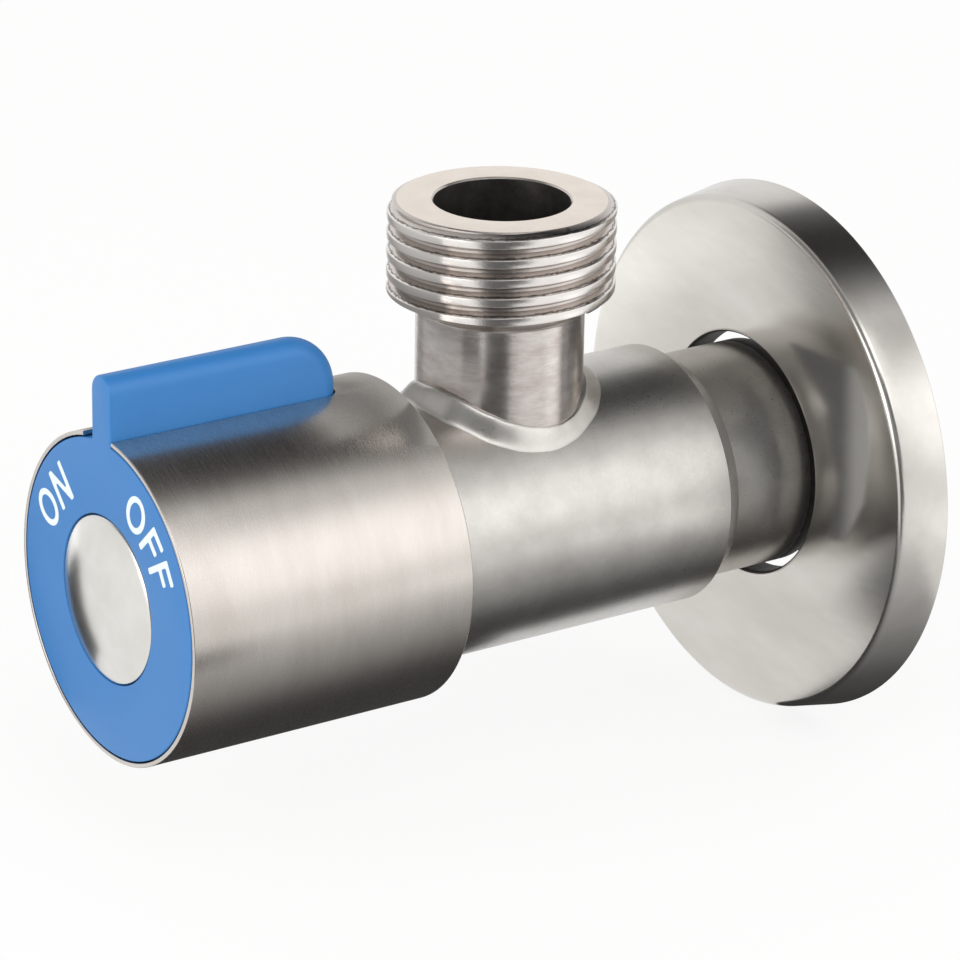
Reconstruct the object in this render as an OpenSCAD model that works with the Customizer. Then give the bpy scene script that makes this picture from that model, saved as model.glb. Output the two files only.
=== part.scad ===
// Quarter-turn shutoff valve in stainless steel, angle pattern, with a ceramic disc cartridge.
// The wall is the plane Y = 0, the handle faces -Y and the outlet points up along +Z.
// Distances along the valve are counted forwards from the wall. on_axis() turns that direction into -Y,
// so inside it Z is the distance in front of the wall, Y is up and X is to the right of the handle.

/* [Body] */
// Diameter of the barrel
body_d = 24.7; // [24.2:0.1:26]
// Distance from the wall to the barrel's front face, under the handle
body_front = 52; // [51:0.1:54]
// Distance from the wall to the front edge of the shoulder
shoulder = 14.9; // [13.5:0.1:17]
// Length of the bevel on the shoulder
shoulder_bevel = 1.7; // [0.8:0.1:2]
// Diameter of the shank that passes through the wall plate
shank_d = 21.6; // [21.2:0.1:22]
// Distance from the wall to the rear end of the shank
shank_end = 2.4; // [2.2:0.05:3]
// Diameter of the chamber that holds the cartridge
chamber_d = 18.8; // [18.4:0.1:19.2]
// Distance from the wall to the seat at the bottom of the chamber
seat = 25; // [23.5:0.1:25.8]

/* [Threads] */
// Major diameter of the pipe thread on the inlet and the outlet
thread_d = 20.955; // [20.8:0.005:21.1]
// Depth of the thread, which sets the end chamfers
thread_h = 0.85; // [0.6:0.05:1]
// How far the inlet thread reaches behind the wall
inlet_reach = 9; // [7:0.5:14]
// Diameter of the inlet's water way
inlet_bore_d = 14; // [12:0.5:14.4]
// Diameter of the relief between the shank and the inlet thread
relief_d = 18.6; // [18:0.1:19.2]

/* [Outlet] */
// Distance from the wall to the outlet's axis
outlet_pos = 32.9; // [32:0.1:34]
// Height of the outlet's sealing face above the valve's axis
outlet_top = 30.3; // [29:0.1:36]
// Diameter of the outlet's water way
outlet_bore_d = 12.5; // [11:0.1:13]
// Diameter of the neck between barrel and thread
neck_d = 15.5; // [15:0.1:16.4]
// Length of the outlet thread with its chamfers
outlet_thread_l = 8.1; // [7:0.1:9]
// Height of the cone between neck and thread
neck_cone_h = 1.9; // [1.6:0.1:3]
// Height of the welded bead up the neck
bead_h = 1.5; // [1:0.1:1.8]
// Width of the bead at the barrel's sides
bead_side_w = 0.85; // [0.6:0.05:1.2]
// Width of the bead along the barrel
bead_end_w = 1.8; // [1.2:0.1:2.1]

/* [Wall plate] */
// Diameter of the plate's rim on the wall
plate_d = 51.5; // [46:0.5:64]
// Depth of the plate
plate_depth = 4.9; // [4.6:0.1:6]
// Thickness of the plate's sheet
plate_t = 0.7; // [0.5:0.1:1]
// How much smaller the radius is at the plate's face
plate_draft = 0.85; // [0.3:0.05:1.5]
// Radius of the rounded edge around the plate's face
plate_edge_r = 0.8; // [0.5:0.1:2]
// Gap between the shank and the hole in the plate
plate_play = 0.9; // [0.3:0.1:1.5]
// Depth of the collar that is pressed in around the hole
plate_collar = 3; // [1.5:0.1:3.2]

/* [Handle shell] */
// Outer diameter of the handle
shell_d = 30.5; // [30:0.1:34]
// Length of the handle
shell_len = 28.9; // [27.5:0.1:33]
// Distance from the wall to the handle's rear rim
shell_rear = 45.5; // [45:0.1:47]
// Thickness of the shell's sheet
shell_t = 0.4; // [0.3:0.05:0.8]
// Open slot beside the lever on its left
slot_left_gap = 1.55; // [0.2:0.05:2.5]
// Gap between the lever and the slot's right edge
slot_right_gap = 0.1; // [0.1:0.05:1]

/* [Dial and lever] */
// Thickness of the dial
dial_t = 1.6; // [1.2:0.1:2.2]
// Gap between the dial's edge and the shell
dial_gap = 0.15; // [0.1:0.05:0.6]
// Thickness of the lever
lever_w = 3.3; // [2.4:0.1:4.4]
// Height of the lever above the shell
lever_h = 5.65; // [5.2:0.05:9]
// Length of the lever from the dial's face
lever_len = 23.7; // [16:0.1:24]
// Sideways place of the lever
lever_x = -0.7; // [-1:0.01:1]
// Radius of the lever's rounded tail
tail_r = 5; // [2.5:0.1:5.1]

/* [Centre cap] */
// Diameter of the metal cap in the dial
cap_d = 15.4; // [13:0.1:16]
// Gap around the cap
cap_gap = 0.12; // [0.1:0.01:0.3]
// Height of the cap's dome
cap_dome = 1.5; // [0.8:0.05:2]
// How far the cap's rim lies below the dial's face
cap_sink = 0.05; // [0.05:0.05:0.6]
// Thickness of the cap's sheet
cap_t = 0.5; // [0.3:0.05:0.6]

/* [Hub] */
// Gap between the hub's skirt and the barrel
skirt_gap = 0.55; // [0.35:0.05:0.8]
// Gap between the hub and the shell
hub_gap = 0.1; // [0.05:0.05:0.2]
// Thickness of the hub's front wall
hub_web_t = 1.9; // [1.6:0.1:2.4]
// Diameter of the hub's boss
boss_d = 12.4; // [11:0.1:13]
// Thickness of the hub's ribs
rib_t = 1.2; // [0.8:0.1:1.8]
// Number of ribs in the hub
rib_count = 6; // [4:1:10]
// Number of pegs that hold the dial
peg_count = 4; // [3:1:6]
// Diameter of the dial's pegs
peg_d = 2.2; // [1.6:0.1:2.6]

/* [Handle screw] */
// Diameter of the screw
screw_d = 4; // [3:0.1:4.2]
// Length of the screw under its head
screw_len = 8; // [6:0.5:9]
// Diameter of the screw's head
head_d = 7.2; // [6:0.1:7.6]
// Height of the screw's head
head_h = 1.9; // [1.5:0.1:2]

/* [Cartridge] */
// Width of the cartridge's hexagon across its flats
hex_af = 17; // [15:0.5:18]
// Thickness of the hexagon
hex_t = 3.4; // [3:0.1:4]
// Diameter of the flange that rests on the barrel
flange_d = 23.4; // [22.6:0.1:23.8]
// Thickness of the flange
flange_t = 1.6; // [1.2:0.1:2]
// Diameter of the thread that holds the cartridge
core_thread_d = 19.8; // [19.6:0.1:20.2]
// Length of the cartridge's thread
core_thread_l = 6.4; // [5:0.1:8]
// Diameter of the cage around the discs
cage_d = 17.8; // [17.6:0.1:18]
// Bore of the cage
cage_bore_d = 15.8; // [15.4:0.1:16]
// Width of the cage's water windows
window_w = 11; // [8:0.1:12]
// Diameter of the collar that guides the spindle
collar_d = 12.8; // [12.4:0.1:13.4]
// Length of the collar
collar_l = 3.5; // [3:0.1:4]
// Quarter turn of the handle between its stops
turn_angle = 90; // [60:5:120]

/* [Spindle] */
// Diameter of the spindle in its guide
stem_d = 9; // [8.6:0.1:9.4]
// Diameter over the spline's teeth
spline_d = 7.8; // [7.2:0.1:8]
// Number of teeth on the spline
spline_teeth = 20; // [12:1:28]
// Depth of the spline's teeth
spline_h = 0.45; // [0.3:0.05:0.6]
// Thickness of the spindle's driving flange
drive_t = 2.3; // [1.8:0.1:2.6]
// Width of the tongue that drives the upper disc
tongue_w = 2.7; // [2:0.1:3.4]

/* [Discs and seals] */
// Thickness of the fixed ceramic disc
fixed_t = 3.2; // [2.6:0.1:3.6]
// Thickness of the turning ceramic disc
moving_t = 3.5; // [3:0.1:4]
// Thickness of the seat gasket
gasket_t = 2.5; // [2.2:0.1:3]
// Inner diameter of the seat gasket
gasket_bore_d = 10.6; // [9.8:0.1:11]
// Thickness of the glide washer
glide_t = 0.8; // [0.6:0.1:1.2]
// Thickness of the spindle's seal rings
stem_ring_t = 1.2; // [1:0.1:1.3]
// Thickness of the seal ring under the flange
flange_ring_t = 1.4; // [1.2:0.1:1.5]

/* [Hidden] */

$fn = 96;
// Steps in one rounded edge, and steps around and across the welded bead
arc_steps = 6;
bead_steps = 72;
bead_arc_steps = 8;
// How far the bead's foot and root reach into the barrel
bead_sink = 0.12;
bead_root = 0.8;

// Named clearances
seat_gap = 0.05;
weld_fit = 0.02;
press_fit = 0.05;
running_fit = 0.05;
thread_fit = 0.1;
disc_fit = 0.1;
side_fit = 0.15;
through = 1;

body_r = body_d / 2;
shank_r = shank_d / 2;
thread_r = thread_d / 2;
relief_r = relief_d / 2;
chamber_r = chamber_d / 2;
inlet_bore_r = inlet_bore_d / 2;
neck_r = neck_d / 2;
outlet_bore_r = outlet_bore_d / 2;

// Inlet end of the body
shoulder_foot = shoulder - shoulder_bevel;
foot_fillet = 0.3;
shoulder_foot_r = shank_r + foot_fillet + 0.1;
edge_break = 0.15;
shank_edge = 0.6;
relief_l = 1.2;
thread_start = shank_end - relief_l - thread_h;
bore_lip = 0.5;

// Cartridge seat in the body's front
flange_r = flange_d / 2;
seal_pocket_r = core_thread_d / 2 + 1.15;
ring_squeeze = 0.2;
seal_pocket_l = flange_ring_t + ring_squeeze;
core_thread_r = core_thread_d / 2;
core_relief = 0.6;
core_neck_r = core_thread_r - core_relief;
core_thread_front = body_front - seal_pocket_l;
core_thread_rear = core_thread_front - core_thread_l;

// Stack of discs and seals, from the seat forwards
gasket_rear = seat + seat_gap;
fixed_rear = gasket_rear + gasket_t + seat_gap;
moving_rear = fixed_rear + fixed_t + seat_gap;
drive_rear = moving_rear + moving_t + disc_fit;
glide_rear = drive_rear + drive_t + disc_fit;
cage_floor = glide_rear + glide_t + disc_fit;

// Cartridge housing
cage_r = cage_d / 2;
cage_bore_r = cage_bore_d / 2;
cage_rear = fixed_rear - 1;
flange_rear = body_front + seat_gap;
hex_rear = flange_rear + flange_t;
collar_rear = hex_rear + hex_t;
collar_front = collar_rear + collar_l;
collar_r = collar_d / 2;
stem_r = stem_d / 2;
guide_r = stem_r + running_fit;
window_rear = moving_rear + 0.2;
window_front = drive_rear + 1;
ear_w = 2.4;
ear_r = cage_r - 0.2;

// Stops at the front of the cartridge
stop_t = 0.9;
stop_rear = collar_front + disc_fit;
stop_front = stop_rear + stop_t;
stop_ring_r = collar_r - 1.5;
lug_r = collar_r - 0.1;
lug_angle = 180;
lug_half = 14;
lug_play = 2;
stop_wall_r = stop_ring_r + 0.3;
clip_t = 0.8;
clip_rear = stop_front + disc_fit;
clip_front = clip_rear + clip_t;
clip_mouth = 60;

// Spindle
spline_r = spline_d / 2;
spline_root_r = spline_r - spline_h;
clip_groove_r = spline_root_r - 0.25;
clip_r = collar_r - 1.3;
stem_ring_r = stem_ring_t / 2;
stem_ring_mid_r = stem_r - running_fit - stem_ring_r;
stem_groove_r = stem_ring_mid_r - stem_ring_r - seat_gap;
stem_groove_w = stem_ring_t + ring_squeeze;
lower_ring_z = core_thread_rear + 1.6;
upper_ring_z = core_thread_front - 0.6;
drive_r = cage_bore_r - 0.5;
tongue_r = drive_r - 0.3;
tongue_h = 1.5;

// Handle
shell_r = shell_d / 2;
front = shell_rear + shell_len;
dial_r = shell_r - shell_t - dial_gap;
dial_rear = front - dial_t;
hub_r = shell_r - shell_t - hub_gap;
hub_bore_r = body_r + skirt_gap;
hub_rear = shell_rear + 0.5;
hub_front = dial_rear - seat_gap;
web_rear = hub_front - hub_web_t;
head_seat_t = 1.2;
head_sink = 0.9;
head_rear = hub_front - head_sink;
spindle_end = head_rear - head_seat_t - seat_gap;
boss_rear = clip_front + 0.4;
rib_rear = boss_rear + 0.6;
boss_r = boss_d / 2;
peg_r = peg_d / 2;
peg_ring_r = (cap_d / 2 + hub_bore_r) / 2 + 0.3;
screw_r = screw_d / 2;
head_r = head_d / 2;

// Lever
lever_tail = front - lever_len;
lever_top = shell_r + lever_h;
lever_root = hub_bore_r + 0.2;
lever_edge_r = lever_w / 2;
slot_end = lever_tail - 0.3;
slot_left = lever_x - lever_edge_r - slot_left_gap;
slot_right = lever_x + lever_edge_r + slot_right_gap;

// Cap
cap_r = cap_d / 2;
cap_hole_r = cap_r + cap_gap;
cap_rim = front - cap_sink;
cap_groove_l = 1;
dome_r = (cap_r * cap_r + cap_dome * cap_dome) / (2 * cap_dome);

// Seals
seal_r = cage_bore_r - disc_fit;
turning_r = cage_bore_r - 0.3;
fixed_r = cage_bore_r - side_fit;
support_r = gasket_bore_d / 2 + 1.1;
support_l = 1.3;
port_inner_r = 2.7;
port_outer_r = gasket_bore_d / 2 - 0.1;
port_half = 42;
web_half = 46;

steel = "#c9c5bf";
blue = "#6494cf";
brass = "#c8a552";
rubber = "#26282b";

function arc(cx, cy, r, from, to, steps) =
    [for (i = [0:steps]) [cx + r * cos(from + (to - from) * i / steps),
        cy + r * sin(from + (to - from) * i / steps)]];

module on_axis() {
    rotate([90, 0, 0]) children();
}

// A round solid about the valve's axis, from one distance to another
module rod(r, from, to) {
    translate([0, 0, from]) cylinder(r = r, h = to - from);
}

// Part of a ring about the valve's axis
module ring_part(inner, outer, from, to, start, angle) {
    rotate([0, 0, start]) translate([0, 0, from]) rotate_extrude(angle = angle)
        translate([inner, 0]) square([outer - inner, to - from]);
}

module seal_ring(mid_r, section_r, z) {
    translate([0, 0, z]) rotate_extrude() translate([mid_r, 0]) circle(r = section_r, $fn = 32);
}

module spline_shape(grow) {
    polygon([for (i = [0:2 * spline_teeth - 1])
        let (r = (i % 2 == 0 ? spline_r : spline_root_r) + grow, a = 180 * i / spline_teeth)
        [r * cos(a), r * sin(a)]]);
}

// Outside of the barrel, shank and inlet thread
module body_outside() {
    rotate_extrude() polygon(concat(
        [[0, -inlet_reach], [thread_r - thread_h, -inlet_reach], [thread_r, thread_h - inlet_reach],
            [thread_r, thread_start], [relief_r, thread_start + thread_h], [relief_r, shank_end]],
        arc(shank_r - shank_edge, shank_end + shank_edge, shank_edge, -90, 0, arc_steps),
        arc(shank_r + foot_fillet, shoulder_foot - foot_fillet, foot_fillet, 180, 90, arc_steps),
        [[shoulder_foot_r, shoulder_foot], [body_r - edge_break, shoulder - edge_break],
            [body_r, shoulder], [body_r, body_front - bore_lip], [body_r - bore_lip, body_front],
            [0, body_front]]));
}

// Bead of weld around the neck: its section stands on the barrel and follows the saddle between the two
function saddle_z(r, a) = sqrt(body_r * body_r - pow(r * cos(a), 2));
function bead_w(a) = bead_side_w + (bead_end_w - bead_side_w) * pow(sin(a), 2);
function bead_section(a) = concat(
    [[neck_r - bead_root, saddle_z(neck_r, a) + bead_h]],
    [for (j = [0:bead_arc_steps])
        let (t = 90 - 90 * j / bead_arc_steps, r = neck_r + bead_w(a) * cos(t))
        [r, saddle_z(r, a) + bead_h * sin(t) - bead_sink * cos(t)]],
    [[neck_r + bead_w(a) / 2, saddle_z(neck_r + bead_w(a), a) - bead_root],
        [neck_r - bead_root, saddle_z(neck_r, a) - bead_root]]);

module weld_bead() {
    rings = [for (i = [0:bead_steps - 1]) bead_section(360 * i / bead_steps)];
    n = len(rings[0]);
    polyhedron(
        points = [for (i = [0:bead_steps - 1]) for (p = rings[i])
            let (a = 360 * i / bead_steps) [p[0] * cos(a), p[0] * sin(a), p[1]]],
        faces = [for (i = [0:bead_steps - 1]) for (j = [0:n - 1]) for (half = [0, 1])
            let (next = (i + 1) % bead_steps, k = (j + 1) % n)
            half == 0 ? [i * n + j, next * n + k, i * n + k] : [i * n + j, next * n + j, next * n + k]]);
}

module valve_body() {
    color(steel) difference() {
        union() {
            on_axis() body_outside();
            translate([0, -outlet_pos, 0]) weld_bead();
        }
        on_axis() {
            rod(inlet_bore_r, -inlet_reach - through, seat + through);
            translate([0, 0, -inlet_reach - through]) cylinder(
                r1 = inlet_bore_r + bore_lip + through, r2 = inlet_bore_r, h = bore_lip + through);
            rod(chamber_r, seat, core_thread_rear);
            rod(core_thread_r + thread_fit, core_thread_rear - core_relief, body_front);
            rod(seal_pocket_r, core_thread_front, body_front + through);
        }
        translate([0, -outlet_pos, 0]) cylinder(r = neck_r + weld_fit, h = body_r + bead_h + through);
    }
}

// Outlet neck and thread, with its foot cut to the chamber's curve
module outlet_nozzle() {
    cone_top = outlet_top - outlet_thread_l;
    color(steel) translate([0, -outlet_pos, 0]) difference() {
        rotate_extrude() polygon([[outlet_bore_r, 0], [neck_r, 0], [neck_r, cone_top - neck_cone_h],
            [thread_r - thread_h, cone_top - thread_h], [thread_r, cone_top],
            [thread_r, outlet_top - thread_h], [thread_r - thread_h, outlet_top],
            [outlet_bore_r + edge_break, outlet_top], [outlet_bore_r, outlet_top - edge_break]]);
        translate([0, outlet_pos, 0]) on_axis() rod(chamber_r + seat_gap, 0, front);
    }
}

// Pressed sheet cup with a round hole for the shank and a collar turned in around the hole
module escutcheon() {
    rim_r = plate_d / 2;
    face_r = rim_r - plate_draft;
    edge_r = plate_edge_r;
    inner_edge_r = max(edge_r - plate_t, 0.05);
    hole_r = shank_r + plate_play;
    hole_edge_r = 0.45;
    color(steel) on_axis() rotate_extrude() polygon(concat(
        [[rim_r - plate_t, 0], [rim_r, 0]],
        arc(face_r - edge_r, plate_depth - edge_r, edge_r, 0, 90, arc_steps),
        arc(hole_r + hole_edge_r, plate_depth - hole_edge_r, hole_edge_r, 90, 180, arc_steps),
        [[hole_r, plate_depth - plate_collar], [hole_r + plate_t, plate_depth - plate_collar],
            [hole_r + plate_t, plate_depth - plate_t]],
        arc(face_r - edge_r, plate_depth - edge_r, inner_edge_r, 90, 0, arc_steps)));
}

// Sheet steel sleeve with an open slot for the lever
module handle_shell() {
    slot_w = slot_right - slot_left;
    end_r = 1.5;
    color(steel) on_axis() difference() {
        rod(shell_r, shell_rear, front);
        rod(shell_r - shell_t, shell_rear - through, front + through);
        translate([slot_left, 0, slot_end + end_r])
            cube([slot_w, shell_r + through, front - slot_end]);
        translate([slot_left + end_r, 0, slot_end])
            cube([slot_w - 2 * end_r, shell_r + through, end_r + through]);
        for (x = [slot_left + end_r, slot_right - end_r])
            translate([x, 0, slot_end + end_r]) rotate([-90, 0, 0])
                cylinder(r = end_r, h = shell_r + through);
    }
}

// Half of the lever's section: flat sides and a full round along the outer edge
module lever_section(reach) {
    translate([0, -lever_edge_r]) square([reach - lever_edge_r, lever_w]);
    translate([reach - lever_edge_r, 0]) circle(r = lever_edge_r);
}

module lever() {
    translate([lever_x, 0, 0]) {
        translate([0, lever_root, lever_tail + tail_r]) linear_extrude(front - lever_tail - tail_r)
            rotate([0, 0, 90]) lever_section(lever_top - lever_root);
        translate([0, lever_top - tail_r, lever_tail + tail_r]) rotate([0, -90, 0])
            rotate([0, 0, 90]) rotate_extrude(angle = 90) lever_section(tail_r);
        translate([0, lever_root, lever_tail + tail_r]) rotate([-90, 0, 0])
            linear_extrude(lever_top - tail_r - lever_root) rotate([0, 0, 90]) lever_section(tail_r);
    }
}

// Blue moulding: front disc, lever and the pegs behind the disc
module lever_dial() {
    color(blue) on_axis() {
        difference() {
            rod(dial_r, dial_rear, front);
            rod(cap_hole_r, dial_rear - through, front + through);
        }
        lever();
        for (i = [0:peg_count - 1])
            rotate([0, 0, 45 + 360 * i / peg_count]) translate([peg_ring_r, 0, 0])
                rod(peg_r, hub_front - hub_web_t, dial_rear);
    }
}

// Domed metal cap with a skirt that sits in the hub's groove
module centre_cap() {
    color("#dcdad6") on_axis() difference() {
        union() {
            rod(cap_r, hub_front - cap_groove_l + seat_gap, cap_rim);
            intersection() {
                rod(cap_r, cap_rim - through, cap_rim + cap_dome);
                translate([0, 0, cap_rim + cap_dome - dome_r]) sphere(r = dome_r);
            }
        }
        intersection() {
            rod(cap_r - cap_t, hub_front - cap_groove_l - through, cap_rim + cap_dome);
            translate([0, 0, cap_rim + cap_dome - dome_r]) sphere(r = dome_r - cap_t);
        }
    }
}

// Moulded core of the handle: skirt, front wall, boss with the spline's socket, and ribs
module handle_hub() {
    color("#3a3c40") on_axis() difference() {
        union() {
            difference() {
                rod(hub_r, hub_rear, hub_front);
                rod(hub_bore_r, hub_rear - through, web_rear);
            }
            rod(boss_r, boss_rear, web_rear + through / 2);
            intersection() {
                for (i = [0:rib_count - 1])
                    rotate([0, 0, 360 * (i + 0.5) / rib_count]) translate([0, -rib_t / 2, rib_rear])
                        cube([hub_r, rib_t, web_rear - rib_rear + through / 2]);
                rod(hub_bore_r + through / 2, rib_rear, hub_front);
            }
        }
        translate([0, 0, boss_rear - through]) linear_extrude(spindle_end + seat_gap - boss_rear + through)
            spline_shape(press_fit);
        rod(screw_r + side_fit, spindle_end, hub_front);
        rod(head_r + side_fit, head_rear, hub_front + through);
        difference() {
            rod(cap_r + press_fit, hub_front - cap_groove_l, hub_front + through);
            rod(cap_r - cap_t - press_fit, hub_front - cap_groove_l - through, hub_front + through);
        }
        for (i = [0:peg_count - 1])
            rotate([0, 0, 45 + 360 * i / peg_count]) translate([peg_ring_r, 0, 0])
                rod(peg_r + press_fit, web_rear - through, hub_front + through);
        translate([lever_x - lever_edge_r - side_fit, hub_bore_r - side_fit, slot_end])
            cube([lever_w + 2 * side_fit, hub_r, front - slot_end]);
    }
}

// Pan-head screw that holds the handle on the spindle
module handle_screw() {
    recess_w = 0.9;
    recess_l = head_d * 0.55;
    recess_h = 1;
    color("silver") on_axis() difference() {
        union() {
            rod(screw_r, head_rear + seat_gap - screw_len, head_rear + through / 2);
            intersection() {
                rod(head_r, head_rear + seat_gap, head_rear + seat_gap + head_h);
                translate([0, 0, head_rear + seat_gap + head_h - head_d]) sphere(r = head_d);
            }
        }
        for (turn = [0, 90])
            rotate([0, 0, turn]) translate([-recess_l / 2, -recess_w / 2, head_rear + head_h - recess_h])
                cube([recess_l, recess_w, recess_h + through]);
    }
}

// Brass housing: cage, thread, flange, hexagon and guide collar with its stop wall
module cartridge_housing() {
    color(brass) on_axis() difference() {
        union() {
            rod(cage_r, cage_rear, core_thread_rear);
            rod(core_thread_r, core_thread_rear, core_thread_front);
            rod(core_neck_r, core_thread_front, flange_rear);
            rod(flange_r, flange_rear, hex_rear);
            translate([0, 0, hex_rear]) cylinder(r = hex_af / 2 / cos(30), h = hex_t, $fn = 6);
            rod(collar_r, collar_rear, stop_front);
        }
        rod(stop_wall_r, collar_front, stop_front + through);
        ring_part(stem_r / 2, collar_r + through, collar_front, stop_front + through,
            lug_angle - lug_half - lug_play, turn_angle + 2 * (lug_half + lug_play));
        rod(cage_bore_r, cage_rear - through, cage_floor);
        rod(guide_r, cage_floor - through, collar_front + through);
        translate([-window_w / 2, -cage_d, window_rear])
            cube([window_w, 2 * cage_d, window_front - window_rear]);
        translate([-cage_d, -ear_w / 2 - disc_fit, cage_rear - through])
            cube([2 * cage_d, ear_w + 2 * disc_fit, fixed_rear + fixed_t - cage_rear + through]);
    }
}

// Spindle: tongue, driving flange, stem with two ring grooves, and the splined end
module spindle() {
    color(brass) on_axis() difference() {
        union() {
            translate([-tongue_w / 2, -tongue_r, drive_rear - tongue_h + disc_fit])
                cube([tongue_w, 2 * tongue_r, tongue_h]);
            rod(drive_r, drive_rear, drive_rear + drive_t);
            rod(stem_r, drive_rear + drive_t / 2, collar_front);
            translate([0, 0, collar_front]) linear_extrude(spindle_end - collar_front) spline_shape(0);
        }
        for (z = [lower_ring_z, upper_ring_z])
            difference() {
                rod(stem_r + through, z - stem_groove_w / 2, z + stem_groove_w / 2);
                rod(stem_groove_r, z - stem_groove_w, z + stem_groove_w);
            }
        difference() {
            rod(spline_r + through, clip_rear - seat_gap, clip_front + seat_gap);
            rod(clip_groove_r, clip_rear - through, clip_front + through);
        }
        rod(screw_r + press_fit, head_rear - screw_len - 0.5, spindle_end + through);
    }
}

// Toothed washer whose lug runs between the ends of the stop wall
module stop_washer() {
    color("silver") on_axis() difference() {
        union() {
            rod(stop_ring_r, stop_rear, stop_front);
            ring_part(stop_ring_r - through / 2, lug_r, stop_rear, stop_front,
                lug_angle - lug_half, 2 * lug_half);
        }
        translate([0, 0, stop_rear - through]) linear_extrude(stop_t + 2 * through) spline_shape(press_fit);
    }
}

// Open ring that snaps into the spindle's groove
module spindle_circlip() {
    color("silver") on_axis()
        ring_part(clip_groove_r + seat_gap, clip_r, clip_rear, clip_front,
            clip_mouth / 2 - 90, 360 - clip_mouth);
}

module upper_stem_o_ring() {
    color(rubber) on_axis() seal_ring(stem_ring_mid_r, stem_ring_r, upper_ring_z);
}

module lower_stem_o_ring() {
    color(rubber) on_axis() seal_ring(stem_ring_mid_r, stem_ring_r, lower_ring_z);
}

// Slippery washer between the spindle's flange and the housing
module glide_washer() {
    color("white") on_axis() difference() {
        rod(turning_r, glide_rear, glide_rear + glide_t);
        rod(stem_r + side_fit, glide_rear - through, glide_rear + glide_t + through);
    }
}

// Bow-tie disc that opens and covers the ports, with a slot for the spindle's tongue
module moving_disc() {
    color("ivory") on_axis() difference() {
        rod(turning_r, moving_rear, moving_rear + moving_t);
        for (side = [0, 180])
            ring_part(port_inner_r, turning_r + through, moving_rear - through,
                moving_rear + moving_t + through, side + web_half - 90, 2 * (90 - web_half));
        translate([-tongue_w / 2 - disc_fit, -cage_d, drive_rear - tongue_h])
            cube([tongue_w + 2 * disc_fit, 2 * cage_d, tongue_h]);
    }
}

// Disc with two ports, kept from turning by an ear on each side
module fixed_disc() {
    color("ivory") on_axis() difference() {
        union() {
            rod(fixed_r, fixed_rear, fixed_rear + fixed_t);
            translate([-ear_r, -ear_w / 2, fixed_rear]) cube([2 * ear_r, ear_w, fixed_t - seat_gap]);
        }
        for (side = [0, 180])
            ring_part(port_inner_r, port_outer_r, fixed_rear - through, fixed_rear + fixed_t + through,
                side + 90 - port_half, 2 * port_half);
    }
}

// Rubber ring that presses the discs together and seals on the body's seat
module seat_gasket() {
    color(rubber) on_axis() difference() {
        rod(seal_r, gasket_rear, gasket_rear + gasket_t);
        rod(gasket_bore_d / 2, gasket_rear - through, gasket_rear + gasket_t + through);
        rod(support_r + seat_gap, gasket_rear + gasket_t - support_l - seat_gap,
            gasket_rear + gasket_t + through);
    }
}

// Stiff ring that keeps the gasket's bore open
module gasket_support_ring() {
    color("white") on_axis() difference() {
        rod(support_r, gasket_rear + gasket_t - support_l, gasket_rear + gasket_t);
        rod(gasket_bore_d / 2, gasket_rear, gasket_rear + gasket_t + through);
    }
}

module housing_o_ring() {
    ring_r = flange_ring_t / 2;
    color(rubber) on_axis()
        seal_ring(core_neck_r + seat_gap + ring_r, ring_r, core_thread_front + ring_squeeze / 2 + ring_r);
}

valve_body();
outlet_nozzle();
escutcheon();
handle_shell();
lever_dial();
centre_cap();
handle_hub();
handle_screw();
cartridge_housing();
spindle();
stop_washer();
spindle_circlip();
upper_stem_o_ring();
lower_stem_o_ring();
glide_washer();
moving_disc();
fixed_disc();
seat_gasket();
gasket_support_ring();
housing_o_ring();
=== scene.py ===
# %% [markdown]
# # Quarter-turn shutoff valve
# A small angle valve in stainless steel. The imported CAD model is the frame: it says where each part is
# and what turns or slides. This script dresses it. The parts that show are modelled again with their fine
# edges and real screw threads, and the parts inside keep their CAD shape and get a finish.

# %% Load the frame
import math

import bpy
from mathutils import Matrix, Vector


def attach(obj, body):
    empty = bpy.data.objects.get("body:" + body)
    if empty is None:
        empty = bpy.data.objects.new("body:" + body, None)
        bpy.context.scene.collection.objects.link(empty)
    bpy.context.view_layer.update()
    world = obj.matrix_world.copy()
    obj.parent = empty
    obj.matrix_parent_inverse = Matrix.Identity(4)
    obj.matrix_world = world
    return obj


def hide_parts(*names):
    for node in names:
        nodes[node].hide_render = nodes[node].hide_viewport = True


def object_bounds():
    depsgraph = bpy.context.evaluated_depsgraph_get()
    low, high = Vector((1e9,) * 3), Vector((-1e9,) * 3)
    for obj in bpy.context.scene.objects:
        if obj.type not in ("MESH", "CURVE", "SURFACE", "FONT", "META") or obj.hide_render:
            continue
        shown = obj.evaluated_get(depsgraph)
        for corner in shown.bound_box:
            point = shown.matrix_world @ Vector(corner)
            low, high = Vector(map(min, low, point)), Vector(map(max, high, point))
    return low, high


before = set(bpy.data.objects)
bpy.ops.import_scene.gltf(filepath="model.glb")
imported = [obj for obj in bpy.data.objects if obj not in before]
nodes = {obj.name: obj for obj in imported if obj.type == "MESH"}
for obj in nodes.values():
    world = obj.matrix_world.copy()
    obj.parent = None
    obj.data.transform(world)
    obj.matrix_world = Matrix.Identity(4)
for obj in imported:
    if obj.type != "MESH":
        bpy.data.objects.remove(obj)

cad_low, cad_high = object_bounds()
print("CAD box in mm:", [round(v * 1000, 2) for v in (*cad_low, *cad_high)])

# %% [markdown]
# ## Camera
# The photograph was taken from the right of the handle and a little above, with a long lens. Its angle and
# distance were solved from the circles of the handle, the outlet and the wall plate.

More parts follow.
